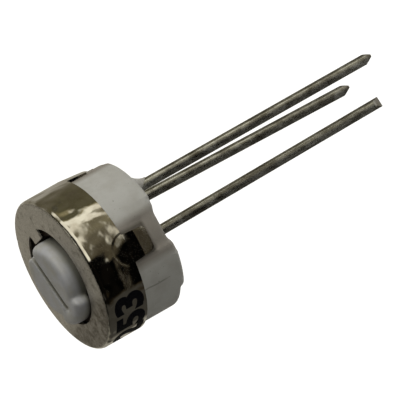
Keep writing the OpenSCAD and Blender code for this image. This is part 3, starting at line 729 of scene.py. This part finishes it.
class TRIMMER_OT_figures(Operator):
    """Prints plain numbers on the cap's side"""
    bl_idname = "trimmer.figures"
    bl_label = "Figures"

    def execute(self, context):
        colours, sizes, _ = settings()
        curve = bpy.data.curves.new("figures", "FONT")
        curve.body = sizes.figures
        curve.size = 1.0
        curve.align_x = "CENTER"
        curve.resolution_u = 6
        curve.offset = sizes.figure_boldness
        text = bpy.data.objects.new("figures_text", curve)
        bpy.context.scene.collection.objects.link(text)
        bpy.context.view_layer.update()
        mesh = bpy.data.meshes.new_from_object(text)
        bpy.data.objects.remove(text)
        bm = bmesh.new()
        bm.from_mesh(mesh)
        bmesh.ops.triangulate(bm, faces=bm.faces)
        low = Vector([min(v.co[i] for v in bm.verts) for i in range(3)])
        high = Vector([max(v.co[i] for v in bm.verts) for i in range(3)])
        scale = sizes.figure_height / (high.y - low.y)
        bmesh.ops.translate(bm, verts=bm.verts, vec=-(low + high) / 2)
        bmesh.ops.scale(bm, verts=bm.verts, vec=(scale * sizes.figure_width, scale, scale))
        bmesh.ops.subdivide_edges(bm, edges=bm.edges, cuts=3, use_grid_fill=True)
        # The flat figures are wrapped round the cap.
        radius = CAP_RADIUS + sizes.ink_lift
        middle = FACE_Z - sizes.band_middle
        for vert in bm.verts:
            turn = sizes.figure_turn + vert.co.x / radius
            vert.co = Vector((radius * math.cos(turn), radius * math.sin(turn), middle + vert.co.y))
        bmesh.ops.recalc_face_normals(bm, faces=bm.faces)
        # Stamping ink, dried: flat black, slightly patchy.
        ink = plain_finish("stamping_ink_black", colours.ink, 0.6, size_mm=0.08, shine=0.04)
        new_piece("printed_figures", bm, "housing", ink)
        return {"FINISHED"}


# ---- Stage ----

FLOOR_RADIUS = 1.2
FLOOR_GLOW = 0.82

# The ring of cards stands just above the floor, with a lid.
RING_RADIUS = 0.12
RING_FOOT_Z = -0.089
RING_HEIGHT = 0.25

# Heights in millimetres between which one row of cards gives way to the next, and between
# which the cards' light fades out.
UPPER_JOINT = (-34.0, -16.0)
LOWER_JOINT = (-68.0, -56.0)
FADE = (100.0, 150.0)
CARD_LIGHT, LID_LIGHT = 1.9, 0.05

# The joints waver by about this share of the circle.
WAVER = 0.05

LAMP_DISTANCE = 0.3
LAMP_SIDE = 0.22
LAMP_COLOUR = "fffdf6"
FILL_COLOUR = "f6f3e8"

# The point at the middle of the view.
AIM = Vector((-0.119, 0.012, -4.2)) * MM

# Card colours against the share round the circle, which starts at the -X side: in the
# middle row, in the upper row and in the lower row.
WALL_CARDS = {
    0.0: "3d3b37", 0.06: "3d3b37", 0.09: "2a241a", 0.115: "030303", 0.25: "030303", 0.275: "4a4436",
    0.34: "6c6655", 0.382: "7d7660", 0.396: "fffbed", 0.43: "fffbed", 0.452: "8f8668", 0.485: "57533f",
    0.6: "625d4f", 0.66: "8a867c", 0.83: "8a867c", 0.9: "3d3b37", 1.0: "3d3b37"}
UPPER_CARDS = {
    0.0: "3d3b37", 0.06: "3d3b37", 0.09: "0c0a08", 0.255: "0c0a08", 0.275: "fffbed", 0.455: "fffbed",
    0.485: "57533f", 0.6: "625d4f", 0.66: "8a867c", 0.83: "8a867c", 0.9: "3d3b37", 1.0: "3d3b37"}
LOWER_CARDS = {
    0.0: "3d3b37", 0.08: "3d3b37", 0.12: "3a362d", 0.25: "403b31", 0.4: "8f8870", 0.5: "4d4a3f",
    1.0: "3d3b37"}


def white_backdrop(colours):
    """White floor card, matt: shows white, keeps a soft shadow, and is open from below."""
    material, tree = new_material("floor_card_white")
    card = add(tree, "ShaderNodeBsdfDiffuse", {"Color": colours.backdrop})
    glow = add(tree, "ShaderNodeEmission", {"Color": colours.backdrop, "Strength": FLOOR_GLOW})
    none = add(tree, "ShaderNodeEmission", {"Strength": 0.0})
    seen = add(tree, "ShaderNodeMixShader", {0: seen_directly(tree), 1: none, 2: glow})
    lit = add(tree, "ShaderNodeAddShader", {0: card, 1: seen})
    clear = add(tree, "ShaderNodeBsdfTransparent")
    below = add(tree, "ShaderNodeNewGeometry").outputs["Backfacing"]
    mixed = add(tree, "ShaderNodeMixShader", {0: below, 1: lit, 2: clear})
    add(tree, "ShaderNodeOutputMaterial", {"Surface": mixed})
    return material


def studio_cards():
    """Painted cards that the bright metal mirrors, all round: a black flag, a grey wall
    and two pale cards, with soft joints. A wider pale card stands above them, and a tan
    table edge below. The light fades out towards the lid."""
    material, tree = new_material("studio_cards_painted")
    material.cycles.emission_sampling = "NONE"
    place = add(tree, "ShaderNodeTexCoord").outputs["Object"]
    share = add(tree, "ShaderNodeTexGradient", {0: place}, gradient_type="RADIAL").outputs["Fac"]
    ripple = add(tree, "ShaderNodeTexNoise", {"Vector": place, "Scale": 22.0, "Detail": 3.0})
    wavy = add(tree, "ShaderNodeMath", {0: ripple, 1: WAVER, 2: share}, operation="MULTIPLY_ADD")
    cards = []
    for stops in (WALL_CARDS, UPPER_CARDS, LOWER_CARDS):
        node = add(tree, "ShaderNodeValToRGB", {0: wavy})
        elements = node.color_ramp.elements
        while len(elements) < len(stops):
            elements.new(1.0)
        for element, position in zip(elements, stops):
            element.position = position
        for element, hex_colour in zip(elements, stops.values()):
            element.color = linear(hex_colour)
        cards.append(node)
    wall, upper, lower = cards
    height = add(tree, "ShaderNodeSeparateXYZ", {0: place_mm(tree)}).outputs["Z"]
    above = add(tree, "ShaderNodeMapRange", {0: height, 1: UPPER_JOINT[0], 2: UPPER_JOINT[1]})
    colour = add(tree, "ShaderNodeMix", {"Factor": above, "A": wall, "B": upper}, data_type="RGBA")
    below = add(tree, "ShaderNodeMapRange",
                {0: height, 1: LOWER_JOINT[0], 2: LOWER_JOINT[1], 3: 1.0, 4: 0.0})
    colour = add(tree, "ShaderNodeMix", {"Factor": below, "A": colour, "B": lower}, data_type="RGBA")
    strength = add(tree, "ShaderNodeMapRange",
                   {0: height, 1: FADE[0], 2: FADE[1], 3: CARD_LIGHT, 4: LID_LIGHT})
    light = add(tree, "ShaderNodeEmission", {"Color": colour, "Strength": strength})
    add(tree, "ShaderNodeOutputMaterial", {"Surface": light})
    return material


def direction(azimuth, elevation):
    """Unit vector towards an azimuth, from -Y towards +X, and an elevation, in radians."""
    flat = math.cos(elevation)
    return Vector((math.sin(azimuth) * flat, -math.cos(azimuth) * flat, math.sin(elevation)))


def area_lamp(name, power, azimuth_deg, elevation_deg):
    """Square area lamp that faces the object and isn't mirrored in it."""
    lamp = bpy.data.lights.new(name, "AREA")
    lamp.shape = "RECTANGLE"
    lamp.size = lamp.size_y = LAMP_SIDE
    lamp.energy = power
    lamp.color = linear(LAMP_COLOUR)[:3]
    holder = bpy.data.objects.new(name, lamp)
    towards = direction(math.radians(azimuth_deg), math.radians(elevation_deg))
    holder.location = towards * LAMP_DISTANCE
    holder.rotation_euler = towards.to_track_quat("Z", "Y").to_euler()
    holder.visible_camera = False
    holder.visible_glossy = False
    bpy.context.scene.collection.objects.link(holder)


class TRIMMER_OT_stage(Operator):
    """Builds the floor, the cards, the far field, the lamps and the camera"""
    bl_idname = "trimmer.stage"
    bl_label = "Stage"

    def execute(self, context):
        colours, _, studio = settings()
        scene = context.scene
        scene.view_settings.view_transform = "Standard"

        bm = bmesh.new()
        bmesh.ops.create_circle(bm, cap_ends=True, segments=96, radius=FLOOR_RADIUS,
                                matrix=Matrix.Translation((0, 0, -studio.floor_drop)))
        new_object("floor", bm, white_backdrop(colours))

        bm = bmesh.new()
        bmesh.ops.create_circle(bm, segments=96, radius=RING_RADIUS,
                                matrix=Matrix.Translation((0, 0, RING_FOOT_Z)))
        raised = bmesh.ops.extrude_edge_only(bm, edges=bm.edges)["geom"]
        top_verts = [v for v in raised if isinstance(v, bmesh.types.BMVert)]
        top_edges = [e for e in raised if isinstance(e, bmesh.types.BMEdge)]
        bmesh.ops.translate(bm, verts=top_verts, vec=(0, 0, RING_HEIGHT))
        bmesh.ops.contextual_create(bm, geom=top_edges)
        cards = new_object("card_ring", bm, studio_cards())
        # Only mirror rays meet the cards.
        cards.visible_camera = False
        cards.visible_diffuse = False
        cards.visible_transmission = False
        cards.visible_shadow = False

        world = bpy.data.worlds.new("far_field")
        world.use_nodes = True
        scene.world = world
        tree = world.node_tree
        tree.nodes.clear()
        seen = add(tree, "ShaderNodeBackground", {"Color": colours.backdrop, "Strength": 1.0})
        even = add(tree, "ShaderNodeBackground", {"Color": linear(FILL_COLOUR), "Strength": studio.fill})
        mixed = add(tree, "ShaderNodeMixShader", {0: seen_directly(tree), 1: even, 2: seen})
        add(tree, "ShaderNodeOutputWorld", {"Surface": mixed})

        area_lamp("key_lamp", studio.key_power, azimuth_deg=58, elevation_deg=14)
        area_lamp("front_lamp", studio.front_power, azimuth_deg=-45, elevation_deg=10)

        camera_data = bpy.data.cameras.new("camera")
        camera_data.lens = camera_data.sensor_width * studio.distance / studio.view_width
        camera_data.clip_start = 0.05
        camera_data.clip_end = 20.0
        camera = bpy.data.objects.new("camera", camera_data)
        scene.collection.objects.link(camera)
        back = direction(studio.azimuth, studio.elevation)
        turn = back.to_track_quat("Z", "Y").to_matrix() @ Matrix.Rotation(studio.roll, 3, "Z")
        camera.matrix_world = Matrix.Translation(AIM + back * studio.distance) @ turn.to_4x4()
        scene.camera = camera
        return {"FINISHED"}


# ---- Sidebar and registration ----

STEPS = (TRIMMER_OT_cap, TRIMMER_OT_base, TRIMMER_OT_rotor, TRIMMER_OT_leads, TRIMMER_OT_seals,
         TRIMMER_OT_inner, TRIMMER_OT_figures, TRIMMER_OT_stage)


class TRIMMER_PT_sidebar(Panel):
    """Lists the trimmer's pieces and settings"""
    bl_label = "Trimmer"
    bl_idname = "TRIMMER_PT_sidebar"
    bl_space_type = "VIEW_3D"
    bl_region_type = "UI"
    bl_category = "Trimmer"

    def draw(self, context):
        for step in STEPS:
            self.layout.operator(step.bl_idname)
        for group in settings():
            box = self.layout.box()
            for name in group.bl_rna.properties.keys():
                if name not in {"rna_type", "name"}:
                    box.prop(group, name)


GROUPS = {"trimmer_colours": TrimmerColours, "trimmer_sizes": TrimmerSizes, "trimmer_studio": TrimmerStudio}
CLASSES = (*GROUPS.values(), *STEPS, TRIMMER_PT_sidebar)


def register():
    for cls in CLASSES:
        bpy.utils.register_class(cls)
    for name, cls in GROUPS.items():
        setattr(bpy.types.Scene, name, PointerProperty(type=cls))


def unregister():
    for name in GROUPS:
        delattr(bpy.types.Scene, name)
    for cls in reversed(CLASSES):
        bpy.utils.unregister_class(cls)


def main():
    register()
    for step in STEPS:
        group, name = step.bl_idname.split(".")
        getattr(getattr(bpy.ops, group), name)()


if __name__ == "__main__":
    main()
